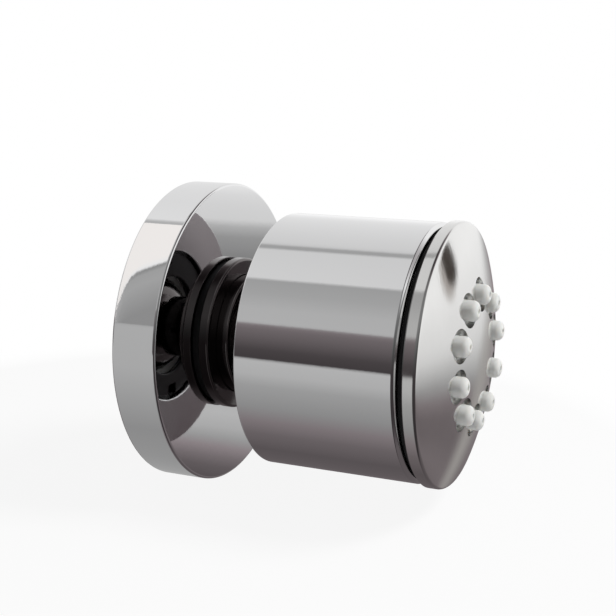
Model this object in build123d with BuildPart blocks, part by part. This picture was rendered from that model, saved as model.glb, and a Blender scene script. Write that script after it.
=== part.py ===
from build123d import *
from math import acos, asin, cos, degrees, radians, sin, sqrt, tan
import os

# Shower body jet: a round head on a ball joint, with a wall flange behind it.
# The jet axis is the Y axis. The wall plane is y = 0 and the jet points along -Y.
# Depths along the axis are measured from the wall plane, outwards, in millimetres.

# Wall flange: a shallow cup, open towards the wall
flange_radius = 30.25
flange_depth = 9.2
flange_wall = 1.8
flange_front_round = 0.5
flange_back_round = 0.4
flange_hub_wall = 3.4
flange_hub_depth = 5.6
wall_seal_width = 2.0
wall_seal_height = 1.6

# Inlet: a male pipe thread of the half inch size that enters the wall fitting
thread_radius = 10.48
thread_length = 12.0
thread_depth = 1.16
thread_lead = 1.0
thread_relief = 1.6
inlet_bore_radius = 6.5
inlet_bore_depth = 10.0
water_bore_radius = 4.0
key_socket_across_flats = 8.0
key_socket_depth = 9.0

# Shank, lock ring and the washer under it
shank_radius = 12.0
shank_stand_out = 5.6
shank_round = 0.6
lock_ring_radius = 15.3
lock_ring_depth = 2.1
lock_ring_round = 0.6
collar_washer_step = 0.7
collar_washer_depth = 0.9

# Ball joint
ball_radius = 11.0
ball_neck_radius = 6.2
ball_centre_gap = 22.3
seat_ring_wall = 1.3
seat_clearance = 0.1
rear_ring_from = -30.0
rear_ring_to = -10.0
front_ring_from = 16.0
front_ring_to = 38.0
joint_seal_latitude = 47.0
socket_mouth_latitude = -36.0
socket_throat_latitude = 58.0
tilt_limit = 15.0

# Head shell
head_radius = 25.0
head_gap = 13.3
head_length = 31.2
head_wall = 1.7
head_rear_wall = 2.0
head_opening_gap = 0.4
head_rear_chamfer = 0.3
head_front_chamfer = 0.65

# Ball nut and head core
nut_radius = 15.2
nut_recess = 1.0
nut_slots = 4
nut_slot_width = 3.2
nut_slot_depth = 1.5
core_hub_wall = 3.35
core_disc_depth = 4.6
core_throat_wall = 1.6
core_rib_count = 6
core_rib_width = 2.0
core_rib_root = 1.0
core_lock_ring_depth = 2.2
core_lock_ring_width = 3.4
core_lock_ring_slots = 4

# Face plate: a shallow dome with a short side and a threaded skirt behind it
plate_overhang = 0.45
groove_width = 1.36
plate_side = 1.9
plate_edge_round = 0.8
plate_rear_chamfer = 0.25
plate_dome_radius = 68.0
plate_wall = 2.0
plate_skirt_gap = 0.8
plate_skirt_wall = 2.0
skirt_clearance = 0.1

# Nozzles: one ring, moulded in one piece with their mat
nozzle_count = 10
nozzle_ring_radius = 12.0
nozzle_clock = 85.0
nozzle_radius = 1.95
nozzle_tip_round = 1.2
nozzle_rise = 1.8
nozzle_bore_radius = 0.55
nozzle_outlet_depth = 1.2
nozzle_feed_radius = 1.2
nozzle_foot_radius = 2.7
nozzle_foot_height = 0.9
nozzle_hole_radius = 3.2
nozzle_hole_round = 0.25
mat_wall = 1.3
mat_rim_gap = 0.6

# Spray plate behind the mat, and its screws
spray_plate_wall = 2.4
spray_screw_count = 3
spray_screw_edge = 0.4
screw_radius = 1.1
screw_grip = 2.2
screw_seat_wall = 0.9
screw_head_radius = 2.0
screw_head_depth = 1.4
screw_drive_radius = 1.0
screw_drive_depth = 0.8
screw_boss_radius = 2.3

# Flow regulator in the core's throat
regulator_depth = 3.0
regulator_wall = 1.2
regulator_post_radius = 1.5
regulator_slots = 8
regulator_slot_width = 0.9
regulator_ring_section = 0.8
regulator_lip = 1.0

# Inlet filter
filter_wall = 0.8
filter_rim = 1.0
filter_cup_depth = 4.0
filter_hole_radius = 0.55
filter_ring_counts = (6, 12)

# Round seals, by section radius
seal_section = 0.9
face_seal_section = 0.62
face_seal_stand_out = 0.25
seal_gap = 0.05
fit_gap = 0.05

# Two edges nearer than this are at one place
same_place = 1e-4

# Sizes and depths that follow from the ones above
collar_washer_radius = lock_ring_radius - collar_washer_step
washer_front = flange_depth + collar_washer_depth
lock_ring_front = washer_front + lock_ring_depth
shank_front = flange_depth + shank_stand_out
ball_centre = flange_depth + ball_centre_gap
head_rear = flange_depth + head_gap
head_front = head_rear + head_length
head_inner_radius = head_radius - head_wall
head_opening_radius = nut_radius + head_opening_gap
head_floor = head_rear + head_rear_wall
plate_radius = head_radius + plate_overhang
plate_rear = head_front + groove_width
socket_radius = ball_radius + seat_ring_wall + 2 * seat_clearance

# Dome of the face plate: its centre lies on the jet axis, behind the plate
edge_turn = asin((plate_radius - plate_edge_round) / (plate_dome_radius - plate_edge_round))
edge_centre = plate_rear + plate_side
dome_centre = edge_centre - (plate_dome_radius - plate_edge_round) * cos(edge_turn)
dome_top = dome_centre + plate_dome_radius


def dome_depth(radius, inset=0.0):
    """Depth of the face plate's dome, or of a surface behind it, at a distance from the axis."""
    return dome_centre + sqrt((plate_dome_radius - inset) ** 2 - radius**2)


def on_ball(radius, latitude):
    """Radius and depth of a point about the ball's centre; latitude 0 is its widest circle."""
    angle = radians(latitude)
    return radius * cos(angle), ball_centre + radius * sin(angle)


def half_section(*corners):
    """Closes a half section given as radius and depth, and turns it about the jet axis."""
    with BuildSketch(Plane.XY) as section:
        with BuildLine():
            Polyline([(radius, -depth) for radius, depth in corners], close=True)
        make_face()
    revolve(section.sketch, axis=Axis.Y)


def ball_zone(inner, outer, low, high):
    """Turns the zone between two concentric balls and two latitudes about the jet axis."""
    middle = (low + high) / 2
    points = [on_ball(r, a) for r, a in ((inner, low), (inner, middle), (inner, high))]
    points += [on_ball(r, a) for r, a in ((outer, high), (outer, middle), (outer, low))]
    p = [(radius, -depth) for radius, depth in points]
    with BuildSketch(Plane.XY) as section:
        with BuildLine():
            ThreePointArc(p[0], p[1], p[2])
            Line(p[2], p[3])
            ThreePointArc(p[3], p[4], p[5])
            Line(p[5], p[0])
        make_face()
    revolve(section.sketch, axis=Axis.Y)


def round_seal(radius, depth, section):
    """Turns a round seal of the given section radius about the jet axis."""
    with BuildSketch(Plane.XY) as ring:
        with Locations((radius, -depth)):
            Circle(section)
    revolve(ring.sketch, axis=Axis.Y)


def facing(depth):
    """A sketch plane at a depth: it faces out of the wall, with +X to the right and +Z up."""
    return Plane(origin=(0, -depth, 0), x_dir=(1, 0, 0), z_dir=(0, -1, 0))


def rims(part, radius, depth):
    """The circular edges of a part at a radius and a depth."""
    found = part.edges().filter_by(GeomType.CIRCLE)
    wide = [e for e in found if abs(e.radius - radius) < same_place]
    return [e for e in wide if abs(e.arc_center.Y + depth) < same_place]


# Wall flange
hub_radius = shank_radius + flange_hub_wall
hub_rear = flange_depth - flange_hub_depth
flange_seal_depth = flange_depth - flange_hub_depth / 2
flange_seal_radius = shank_radius + seal_gap + seal_section
cup_radius = flange_radius - flange_wall

with BuildPart() as wall_flange:
    half_section(
        (shank_radius + fit_gap, hub_rear),
        (hub_radius, hub_rear),
        (hub_radius, flange_depth - flange_wall),
        (cup_radius, flange_depth - flange_wall),
        (cup_radius, 0),
        (flange_radius, 0),
        (flange_radius, flange_depth),
        (shank_radius + fit_gap, flange_depth),
    )
    fillet(rims(wall_flange, flange_radius, flange_depth), flange_front_round)
    fillet(rims(wall_flange, flange_radius, 0), flange_back_round)
    # groove for the seal that grips the shank
    with BuildSketch(Plane.XY):
        with Locations((flange_seal_radius, -flange_seal_depth)):
            Rectangle(2 * (seal_section + seal_gap), 2 * (seal_section + seal_gap))
    revolve(axis=Axis.Y, mode=Mode.SUBTRACT)
wall_flange.part.label = "wall_flange"

with BuildPart() as flange_seal:
    round_seal(flange_seal_radius, flange_seal_depth, seal_section)
flange_seal.part.label = "flange_seal"

# Soft ring inside the flange's rim, flush with the wall
with BuildPart() as wall_seal:
    wall_seal_outer = cup_radius - seal_gap
    half_section(
        (wall_seal_outer - wall_seal_width, 0),
        (wall_seal_outer, 0),
        (wall_seal_outer, wall_seal_height),
        (wall_seal_outer - wall_seal_width, wall_seal_height),
    )
wall_seal.part.label = "wall_seal"

# Ball stem: pipe thread, shank, neck and ball turned in one piece
inlet_end = -thread_length
shoulder = thread_relief
thread_root = thread_radius - thread_depth
neck_start = on_ball(ball_radius, -degrees(acos(ball_neck_radius / ball_radius)))[1]
ball_mouth = on_ball(ball_radius, degrees(acos(water_bore_radius / ball_radius)))[1]

with BuildPart() as ball_stem:
    with BuildSketch(Plane.XY):
        with BuildLine():
            Polyline(
                (water_bore_radius, -ball_mouth),
                (water_bore_radius, -(inlet_end + inlet_bore_depth)),
                (inlet_bore_radius, -(inlet_end + inlet_bore_depth)),
                (inlet_bore_radius, -inlet_end),
                (thread_radius, -inlet_end),
                (thread_radius, 0),
                (thread_root, 0),
                (thread_root, -shoulder),
                (shank_radius, -shoulder),
                (shank_radius, -shank_front),
                (ball_neck_radius, -shank_front),
                (ball_neck_radius, -neck_start),
            )
            ThreePointArc(
                (ball_neck_radius, -neck_start),
                (ball_radius, -ball_centre),
                (water_bore_radius, -ball_mouth),
            )
        make_face()
    revolve(axis=Axis.Y)
    chamfer(rims(ball_stem, thread_radius, inlet_end), thread_lead)
    fillet(rims(ball_stem, shank_radius, shank_front), shank_round)
    fillet(rims(ball_stem, ball_neck_radius, shank_front), shank_round)
    # hexagon socket inside the ball for the fitting key
    with BuildSketch(facing(ball_mouth)):
        RegularPolygon(key_socket_across_flats / 2 + fit_gap, 6, major_radius=False)
    extrude(amount=-key_socket_depth, mode=Mode.SUBTRACT)
ball_stem.part.label = "ball_stem"

with BuildPart() as inlet_seal:
    round_seal(
        thread_root + seal_gap + thread_relief / 2 - fit_gap,
        shoulder / 2,
        thread_relief / 2 - fit_gap,
    )
inlet_seal.part.label = "inlet_seal"

# Filter: a small cup with a rim, perforated on its floor
filter_radius = inlet_bore_radius - fit_gap
filter_cup_radius = filter_radius - filter_rim
with BuildPart() as inlet_filter:
    half_section(
        (0, inlet_end + filter_cup_depth - filter_wall),
        (filter_cup_radius - filter_wall, inlet_end + filter_cup_depth - filter_wall),
        (filter_cup_radius - filter_wall, inlet_end),
        (filter_radius, inlet_end),
        (filter_radius, inlet_end + filter_wall),
        (filter_cup_radius, inlet_end + filter_wall),
        (filter_cup_radius, inlet_end + filter_cup_depth),
        (0, inlet_end + filter_cup_depth),
    )
    with BuildSketch(facing(inlet_end + filter_cup_depth)):
        Circle(filter_hole_radius)
        for ring, count in enumerate(filter_ring_counts, start=1):
            pitch = (filter_cup_radius - filter_wall) / (len(filter_ring_counts) + 0.5)
            with PolarLocations(ring * pitch, count):
                Circle(filter_hole_radius)
    extrude(amount=-filter_wall, mode=Mode.SUBTRACT)
inlet_filter.part.label = "inlet_filter"

# Washer and lock ring that hold the flange against the wall
with BuildPart() as collar_washer:
    half_section(
        (shank_radius + fit_gap, flange_depth),
        (collar_washer_radius, flange_depth),
        (collar_washer_radius, washer_front),
        (shank_radius + fit_gap, washer_front),
    )
collar_washer.part.label = "collar_washer"

with BuildPart() as lock_ring:
    half_section(
        (shank_radius + fit_gap, washer_front),
        (lock_ring_radius, washer_front),
        (lock_ring_radius, lock_ring_front),
        (shank_radius + fit_gap, lock_ring_front),
    )
    fillet(rims(lock_ring, lock_ring_radius, lock_ring_front), lock_ring_round)
lock_ring.part.label = "lock_ring"

# Two seat rings between the ball and its socket: zones of a sphere
ring_inner = ball_radius + seat_clearance
ring_outer = ring_inner + seat_ring_wall

with BuildPart() as rear_seat_ring:
    ball_zone(ring_inner, ring_outer, rear_ring_from, rear_ring_to)
rear_seat_ring.part.label = "rear_seat_ring"

with BuildPart() as front_seat_ring:
    ball_zone(ring_inner, ring_outer, front_ring_from, front_ring_to)
front_seat_ring.part.label = "front_seat_ring"

# Head shell: a cup with a round opening for the joint in its rear wall
with BuildPart() as head_shell:
    half_section(
        (head_opening_radius, head_rear),
        (head_radius, head_rear),
        (head_radius, head_front),
        (head_inner_radius, head_front),
        (head_inner_radius, head_floor),
        (head_opening_radius, head_floor),
    )
    chamfer(rims(head_shell, head_radius, head_rear), head_rear_chamfer)
    chamfer(rims(head_shell, head_radius, head_front), head_front_chamfer)
    chamfer(rims(head_shell, head_opening_radius, head_rear), head_rear_chamfer)
head_shell.part.label = "head_shell"

# Ball nut: screwed into the core from behind, with the rear half of the socket
nut_rear = head_rear + nut_recess
mouth = on_ball(socket_radius, socket_mouth_latitude)
mouth_middle = on_ball(socket_radius, socket_mouth_latitude / 2)
mouth_flare = mouth[0] + (mouth[1] - nut_rear) * tan(radians(tilt_limit))

with BuildPart() as ball_nut:
    with BuildSketch(Plane.XY):
        with BuildLine():
            Polyline(
                (socket_radius, -ball_centre),
                (nut_radius, -ball_centre),
                (nut_radius, -nut_rear),
                (mouth_flare, -nut_rear),
                (mouth[0], -mouth[1]),
            )
            ThreePointArc(
                (mouth[0], -mouth[1]),
                (mouth_middle[0], -mouth_middle[1]),
                (socket_radius, -ball_centre),
            )
        make_face()
    revolve(axis=Axis.Y)
    # slots for a pin spanner
    with BuildSketch(facing(nut_rear)):
        with PolarLocations(nut_radius, nut_slots):
            Rectangle(nut_radius - mouth_flare, nut_slot_width)
    extrude(amount=nut_slot_depth, mode=Mode.SUBTRACT)
ball_nut.part.label = "ball_nut"

# Head core: carries the front half of the socket, the throat and the chamber floor
throat = on_ball(socket_radius, socket_throat_latitude)
throat_middle = on_ball(socket_radius, socket_throat_latitude / 2)
throat_radius = throat[0]
core_hub_radius = nut_radius + fit_gap + core_hub_wall
regulator_seat = throat[1] + core_throat_wall
regulator_radius = throat_radius + regulator_lip
core_front = regulator_seat + regulator_depth
core_disc_rear = core_front - core_disc_depth
core_radius = head_inner_radius - fit_gap
core_seal_depth = core_front - core_disc_depth / 2
core_seal_radius = core_radius - seal_section
core_groove_radius = core_radius - 2 * seal_section - seal_gap
core_groove_half = seal_section + seal_gap
joint_seal_at = on_ball(ball_radius + seal_gap + seal_section, joint_seal_latitude)

with BuildPart() as head_core:
    with BuildSketch(Plane.XY):
        with BuildLine():
            Polyline(
                (throat_radius, -throat[1]),
                (throat_radius, -regulator_seat),
                (regulator_radius + fit_gap, -regulator_seat),
                (regulator_radius + fit_gap, -core_front),
                (core_radius, -core_front),
                (core_radius, -(core_seal_depth + core_groove_half)),
                (core_groove_radius, -(core_seal_depth + core_groove_half)),
                (core_groove_radius, -(core_seal_depth - core_groove_half)),
                (core_radius, -(core_seal_depth - core_groove_half)),
                (core_radius, -core_disc_rear),
                (core_hub_radius, -core_disc_rear),
                (core_hub_radius, -head_floor),
                (nut_radius + fit_gap, -head_floor),
                (nut_radius + fit_gap, -ball_centre),
                (socket_radius, -ball_centre),
            )
            ThreePointArc(
                (socket_radius, -ball_centre),
                (throat_middle[0], -throat_middle[1]),
                (throat_radius, -throat[1]),
            )
        make_face()
    revolve(axis=Axis.Y)
    # ribs that centre the hub in the shell
    with BuildSketch(facing(core_disc_rear)):
        rib_reach = core_radius - core_hub_radius + core_rib_root
        with PolarLocations(core_radius - rib_reach / 2, core_rib_count):
            Rectangle(rib_reach, core_rib_width)
        Circle(core_radius, mode=Mode.INTERSECT)
    extrude(amount=-(core_disc_rear - head_floor))
    # seal groove in the socket
    with BuildSketch(Plane.XY):
        with Locations((joint_seal_at[0], -joint_seal_at[1])):
            Circle(seal_section + seal_gap)
    revolve(axis=Axis.Y, mode=Mode.SUBTRACT)
head_core.part.label = "head_core"

with BuildPart() as core_seal:
    round_seal(core_seal_radius, core_seal_depth, seal_section)
core_seal.part.label = "core_seal"

with BuildPart() as joint_seal:
    round_seal(joint_seal_at[0], joint_seal_at[1], seal_section)
joint_seal.part.label = "joint_seal"

# Flow regulator: a cup with a slotted floor round a post, and an elastic ring on the floor
regulator_slot_ring = (regulator_radius - regulator_wall + regulator_post_radius) / 2
regulator_slot_length = regulator_radius - regulator_wall - regulator_post_radius - 2 * fit_gap
with BuildPart() as flow_regulator:
    half_section(
        (0, regulator_seat),
        (regulator_radius, regulator_seat),
        (regulator_radius, core_front),
        (regulator_radius - regulator_wall, core_front),
        (regulator_radius - regulator_wall, regulator_seat + regulator_wall),
        (regulator_post_radius, regulator_seat + regulator_wall),
        (regulator_post_radius, core_front),
        (0, core_front),
    )
    with BuildSketch(facing(regulator_seat + regulator_wall)):
        with PolarLocations(regulator_slot_ring, regulator_slots):
            SlotOverall(regulator_slot_length, regulator_slot_width)
    extrude(amount=-regulator_wall, mode=Mode.SUBTRACT)
flow_regulator.part.label = "flow_regulator"

with BuildPart() as regulator_ring:
    round_seal(
        regulator_slot_ring,
        regulator_seat + regulator_wall + regulator_ring_section,
        regulator_ring_section,
    )
regulator_ring.part.label = "regulator_ring"

# Lock ring that holds the core down in the shell
core_lock_front = core_front + core_lock_ring_depth
with BuildPart() as core_lock_ring:
    half_section(
        (core_radius - core_lock_ring_width, core_front),
        (core_radius, core_front),
        (core_radius, core_lock_front),
        (core_radius - core_lock_ring_width, core_lock_front),
    )
    with BuildSketch(facing(core_lock_front)):
        with PolarLocations(core_radius - core_lock_ring_width, core_lock_ring_slots):
            Rectangle(core_lock_ring_width, core_lock_ring_width)
    extrude(amount=-core_lock_ring_depth / 2, mode=Mode.SUBTRACT)
core_lock_ring.part.label = "core_lock_ring"

# Face plate: domed plate, edge and skirt in one casting, with a recess for each nozzle
skirt_radius = head_inner_radius - skirt_clearance
skirt_inner = skirt_radius - plate_skirt_wall
skirt_rear = core_lock_front + plate_skirt_gap
edge_mid_turn = (radians(90) + edge_turn) / 2
edge_start = (plate_radius, edge_centre)
edge_mid = (
    plate_radius - plate_edge_round + plate_edge_round * sin(edge_mid_turn),
    edge_centre + plate_edge_round * cos(edge_mid_turn),
)
edge_end = (plate_dome_radius * sin(edge_turn), dome_centre + plate_dome_radius * cos(edge_turn))
mat_inset = plate_wall + fit_gap
mat_back_inset = mat_inset + mat_wall
spray_inset = mat_back_inset + fit_gap
spray_back_inset = spray_inset + spray_plate_wall
mat_radius = skirt_inner - mat_rim_gap
spray_screw_ring = mat_radius - screw_boss_radius - spray_screw_edge
screw_clock = nozzle_clock + 180 / nozzle_count
boss_end = dome_depth(spray_screw_ring + screw_boss_radius, spray_inset)
screw_tip = boss_end + screw_grip
screw_seat = boss_end - screw_seat_wall
face_seal_radius = skirt_radius + face_seal_stand_out
face_seal_depth = (head_front + plate_rear) / 2


def dome_point(radius, inset=0.0):
    """A half section's point on the dome, or on a surface behind it."""
    return radius, -dome_depth(radius, inset)


with BuildPart() as face_plate:
    with BuildSketch(Plane.XY):
        with BuildLine():
            ThreePointArc(
                (edge_start[0], -edge_start[1]),
                (edge_mid[0], -edge_mid[1]),
                (edge_end[0], -edge_end[1]),
            )
            ThreePointArc((edge_end[0], -edge_end[1]), dome_point(edge_end[0] / 2), dome_point(0))
            Line(dome_point(0), dome_point(0, plate_wall))
            ThreePointArc(
                dome_point(0, plate_wall),
                dome_point(skirt_inner / 2, plate_wall),
                dome_point(skirt_inner, plate_wall),
            )
            Polyline(
                dome_point(skirt_inner, plate_wall),
                (skirt_inner, -skirt_rear),
                (skirt_radius, -skirt_rear),
                (skirt_radius, -plate_rear),
                (plate_radius, -plate_rear),
                (edge_start[0], -edge_start[1]),
            )
        make_face()
    revolve(axis=Axis.Y)
    chamfer(rims(face_plate, plate_radius, plate_rear), plate_rear_chamfer)
    # seal groove in the skirt, just behind the plate
    with BuildSketch(Plane.XY):
        with Locations((face_seal_radius, -face_seal_depth)):
            Circle(face_seal_section + seal_gap)
    revolve(axis=Axis.Y, mode=Mode.SUBTRACT)
    # bosses and blind holes for the spray plate's screws
    with BuildSketch(facing(boss_end)):
        with PolarLocations(spray_screw_ring, spray_screw_count, start_angle=screw_clock):
            Circle(screw_boss_radius)
    extrude(amount=dome_depth(spray_screw_ring, plate_wall / 2) - boss_end)
    with BuildSketch(facing(boss_end)):
        with PolarLocations(spray_screw_ring, spray_screw_count, start_angle=screw_clock):
            Circle(screw_radius + fit_gap)
    extrude(amount=screw_grip + fit_gap, mode=Mode.SUBTRACT)
    # nozzle recesses with a small round on their rims
    with BuildSketch(facing(dome_top)):
        with PolarLocations(nozzle_ring_radius, nozzle_count, start_angle=nozzle_clock):
            Circle(nozzle_hole_radius)
    extrude(amount=-(dome_top - plate_rear), mode=Mode.SUBTRACT)
    rim_curves = face_plate.edges().filter_by(GeomType.CIRCLE, reverse=True)
    front = dome_depth(nozzle_ring_radius, plate_wall / 2)
    fillet([e for e in rim_curves if e.is_closed and -e.center().Y > front], nozzle_hole_round)
face_plate.part.label = "face_plate"

with BuildPart() as face_seal:
    round_seal(face_seal_radius, face_seal_depth, face_seal_section)
face_seal.part.label = "face_seal"


def domed_disc(radius, front_inset, back_inset):
    """Turns a disc that follows the dome between two surfaces behind it."""
    front = [dome_point(reach, front_inset) for reach in (0, radius / 2, radius)]
    back = [dome_point(reach, back_inset) for reach in (radius, radius / 2, 0)]
    with BuildSketch(Plane.XY) as section:
        with BuildLine():
            ThreePointArc(*front)
            Line(front[-1], back[0])
            ThreePointArc(*back)
            Line(back[-1], front[0])
        make_face()
    revolve(section.sketch, axis=Axis.Y)


# Nozzle mat: a soft disc behind the face plate with ten hollow nozzles on it
nozzle_tip = dome_depth(nozzle_ring_radius) + nozzle_rise
mat_front = dome_depth(nozzle_ring_radius, mat_inset)
mat_back = dome_depth(nozzle_ring_radius, mat_back_inset)

with BuildPart() as nozzle_mat:
    domed_disc(mat_radius, mat_inset, mat_back_inset)
    # nozzle shafts and their conical feet
    with BuildSketch(facing(nozzle_tip)):
        with PolarLocations(nozzle_ring_radius, nozzle_count, start_angle=nozzle_clock):
            Circle(nozzle_radius)
    extrude(amount=-(nozzle_tip - mat_front + mat_wall / 2))
    fillet(nozzle_mat.faces().sort_by(Axis.Y)[:nozzle_count].edges(), nozzle_tip_round)
    with BuildSketch(facing(mat_front + nozzle_foot_height)):
        with PolarLocations(nozzle_ring_radius, nozzle_count, start_angle=nozzle_clock):
            Circle(nozzle_foot_radius)
    extrude(amount=-(nozzle_foot_height + mat_wall / 2))
    # outlets, and the wider feeds behind them
    with BuildSketch(facing(nozzle_tip)):
        with PolarLocations(nozzle_ring_radius, nozzle_count, start_angle=nozzle_clock):
            Circle(nozzle_bore_radius)
    extrude(amount=-nozzle_outlet_depth, mode=Mode.SUBTRACT)
    with BuildSketch(facing(nozzle_tip - nozzle_outlet_depth)):
        with PolarLocations(nozzle_ring_radius, nozzle_count, start_angle=nozzle_clock):
            Circle(nozzle_feed_radius)
    extrude(amount=-(nozzle_tip - mat_back), mode=Mode.SUBTRACT)
    # holes that the screw bosses pass through
    with BuildSketch(facing(dome_top)):
        with PolarLocations(spray_screw_ring, spray_screw_count, start_angle=screw_clock):
            Circle(screw_boss_radius + fit_gap)
    extrude(amount=-(dome_top - plate_rear), mode=Mode.SUBTRACT)
nozzle_mat.part.label = "nozzle_mat"

# Spray plate: backs the mat and feeds each nozzle
with BuildPart() as spray_plate:
    domed_disc(mat_radius, spray_inset, spray_back_inset)
    with BuildSketch(facing(dome_top)):
        with PolarLocations(nozzle_ring_radius, nozzle_count, start_angle=nozzle_clock):
            Circle(nozzle_feed_radius)
        with PolarLocations(spray_screw_ring, spray_screw_count, start_angle=screw_clock):
            Circle(screw_radius + fit_gap)
    extrude(amount=-(dome_top - head_rear), mode=Mode.SUBTRACT)
    # flat seats for the bosses in front and for the screw heads behind
    with BuildSketch(facing(boss_end)):
        with PolarLocations(spray_screw_ring, spray_screw_count, start_angle=screw_clock):
            Circle(screw_boss_radius + fit_gap)
    extrude(amount=spray_plate_wall, mode=Mode.SUBTRACT)
    with BuildSketch(facing(screw_seat)):
        with PolarLocations(spray_screw_ring, spray_screw_count, start_angle=screw_clock):
            Circle(screw_head_radius + fit_gap)
    extrude(amount=-spray_plate_wall, mode=Mode.SUBTRACT)
spray_plate.part.label = "spray_plate"

# Three screws that clamp the mat between the spray plate and the face plate
with BuildPart() as spray_screws:
    with BuildSketch(facing(screw_tip)):
        with PolarLocations(spray_screw_ring, spray_screw_count, start_angle=screw_clock):
            Circle(screw_radius)
    extrude(amount=-(screw_tip - screw_seat))
    with BuildSketch(facing(screw_seat)):
        with PolarLocations(spray_screw_ring, spray_screw_count, start_angle=screw_clock):
            Circle(screw_head_radius)
    extrude(amount=-screw_head_depth)
    with BuildSketch(facing(screw_seat - screw_head_depth + screw_drive_depth)):
        with PolarLocations(spray_screw_ring, spray_screw_count, start_angle=screw_clock):
            RegularPolygon(screw_drive_radius, 6)
    extrude(amount=-screw_drive_depth, mode=Mode.SUBTRACT)
spray_screws.part.label = "spray_screws"

os.makedirs("parts", exist_ok=True)
wall_side = (wall_flange, flange_seal, wall_seal, ball_stem)
wall_front = (inlet_seal, inlet_filter, collar_washer, lock_ring)
joint_side = (rear_seat_ring, front_seat_ring, joint_seal, ball_nut)
head_side = (head_shell, head_core, core_seal, core_lock_ring, flow_regulator, regulator_ring)
face_side = (face_plate, face_seal, nozzle_mat, spray_plate, spray_screws)
for piece in wall_side + wall_front + joint_side + head_side + face_side:
    export_step(piece.part, f"parts/{piece.part.label}.step")
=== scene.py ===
"""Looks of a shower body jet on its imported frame: polished turned pieces and a domed spray face."""
import logging
import math
from dataclasses import dataclass
from enum import Enum
from typing import Sequence

import bpy
from mathutils import Matrix, Vector


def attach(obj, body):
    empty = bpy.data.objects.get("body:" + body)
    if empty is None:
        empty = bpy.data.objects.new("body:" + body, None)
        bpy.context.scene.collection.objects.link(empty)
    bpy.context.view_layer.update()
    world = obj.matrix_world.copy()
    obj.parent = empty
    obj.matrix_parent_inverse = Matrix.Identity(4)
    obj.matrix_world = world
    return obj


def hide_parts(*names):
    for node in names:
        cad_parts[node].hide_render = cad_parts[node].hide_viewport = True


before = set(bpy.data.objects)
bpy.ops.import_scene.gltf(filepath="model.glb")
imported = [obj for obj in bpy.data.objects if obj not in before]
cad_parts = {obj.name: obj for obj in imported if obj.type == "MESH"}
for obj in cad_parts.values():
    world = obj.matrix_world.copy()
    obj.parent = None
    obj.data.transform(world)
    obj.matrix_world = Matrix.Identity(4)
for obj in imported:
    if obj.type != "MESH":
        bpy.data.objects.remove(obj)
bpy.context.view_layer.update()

log = logging.getLogger("body_jet")

MM = 0.001
FULL_TURN = 2 * math.pi
ROUND_UNIT = 2.0  # a bevel weight of 1 is a round of this many millimetres
TOUCH = 2e-7  # two points nearer than this, in metres, are one
ON_RING = 2e-6  # a mesh point nearer than this to a circle, in metres, lies on it
CREASE = math.radians(40)  # edges sharper than this stay sharp in the shading
LYING = (math.pi / 2, 0.0, 0.0)  # lays a round primitive along the jet axis

Piece = bpy.types.Object
Socket = bpy.types.NodeSocket
Point = tuple[float, float]
Corner = tuple[float, ...]
Triple = tuple[float, float, float]
Source = Socket | float | Triple


class Side(Enum):
    """The bodies of the frame that the modelled pieces ride on."""

    WALL = "wall_side"
    HEAD = "head"


def deselect_all() -> None:
    """Leaves nothing selected, in object mode."""
    if bpy.context.object is not None and bpy.context.object.mode != "OBJECT":
        bpy.ops.object.mode_set(mode="OBJECT")
    bpy.ops.object.select_all(action="DESELECT")


def activate(piece: Piece) -> None:
    """Selects one piece alone and makes it the active one.

    Args:
        piece: The object to work on.
    """
    deselect_all()
    piece.select_set(True)
    bpy.context.view_layer.objects.active = piece


def apply_modifier(piece: Piece, kind: str, **settings: object) -> None:
    """Adds a modifier with its settings and applies it.

    Args:
        piece: The object that the modifier shapes.
        kind: Blender's name of the modifier.
        **settings: Values for the modifier's own settings.
    """
    activate(piece)
    modifier = piece.modifiers.new(kind.title(), kind)
    for name, value in settings.items():
        setattr(modifier, name, value)
    bpy.ops.object.modifier_apply(modifier=modifier.name)


def cut(piece: Piece, tool: Piece) -> None:
    """Cuts a closed mesh from a piece, and removes it."""
    apply_modifier(piece, "BOOLEAN", operation="DIFFERENCE", solver="EXACT", object=tool)
    bpy.data.objects.remove(tool)


def cut_hole(piece: Piece, corners: int, radius: float, length: float, middle: Triple) -> None:
    """Cuts a straight hole along the jet axis.

    Args:
        piece: The object that gets the hole.
        corners: How many corners the hole has.
        radius: How far its corners are from its middle, in millimetres.
        length: Its length in millimetres.
        middle: Its middle as x, depth and z in millimetres.
    """
    deselect_all()
    x, depth, z = middle
    bpy.ops.mesh.primitive_cylinder_add(
        vertices=corners, radius=radius * MM, depth=length * MM, location=(x * MM, -depth * MM, z * MM),
        rotation=LYING,
    )
    bpy.ops.object.transform_apply()
    cut(piece, bpy.context.object)


def join(pieces: Sequence[Piece], name: str) -> Piece:
    """Joins meshes into one object.

    Args:
        pieces: The objects to join; the first one stays.
        name: The joined object's name.

    Returns:
        The joined object.
    """
    activate(pieces[0])
    for piece in pieces:
        piece.select_set(True)
    bpy.ops.object.join()
    pieces[0].name = name
    return pieces[0]


@dataclass(frozen=True)
class RoundedRing:
    """A circular edge of a turned piece and the round that it gets, in millimetres."""

    radius: float
    depth: float
    round: float

    def holds(self, point: Vector, centre: Point) -> bool:
        """Says whether a mesh point lies on this ring about a centre given as x and z."""
        reach = math.hypot(point.x - centre[0] * MM, point.z - centre[1] * MM)
        return abs(reach - self.radius * MM) < ON_RING and abs(point.y + self.depth * MM) < ON_RING


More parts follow.
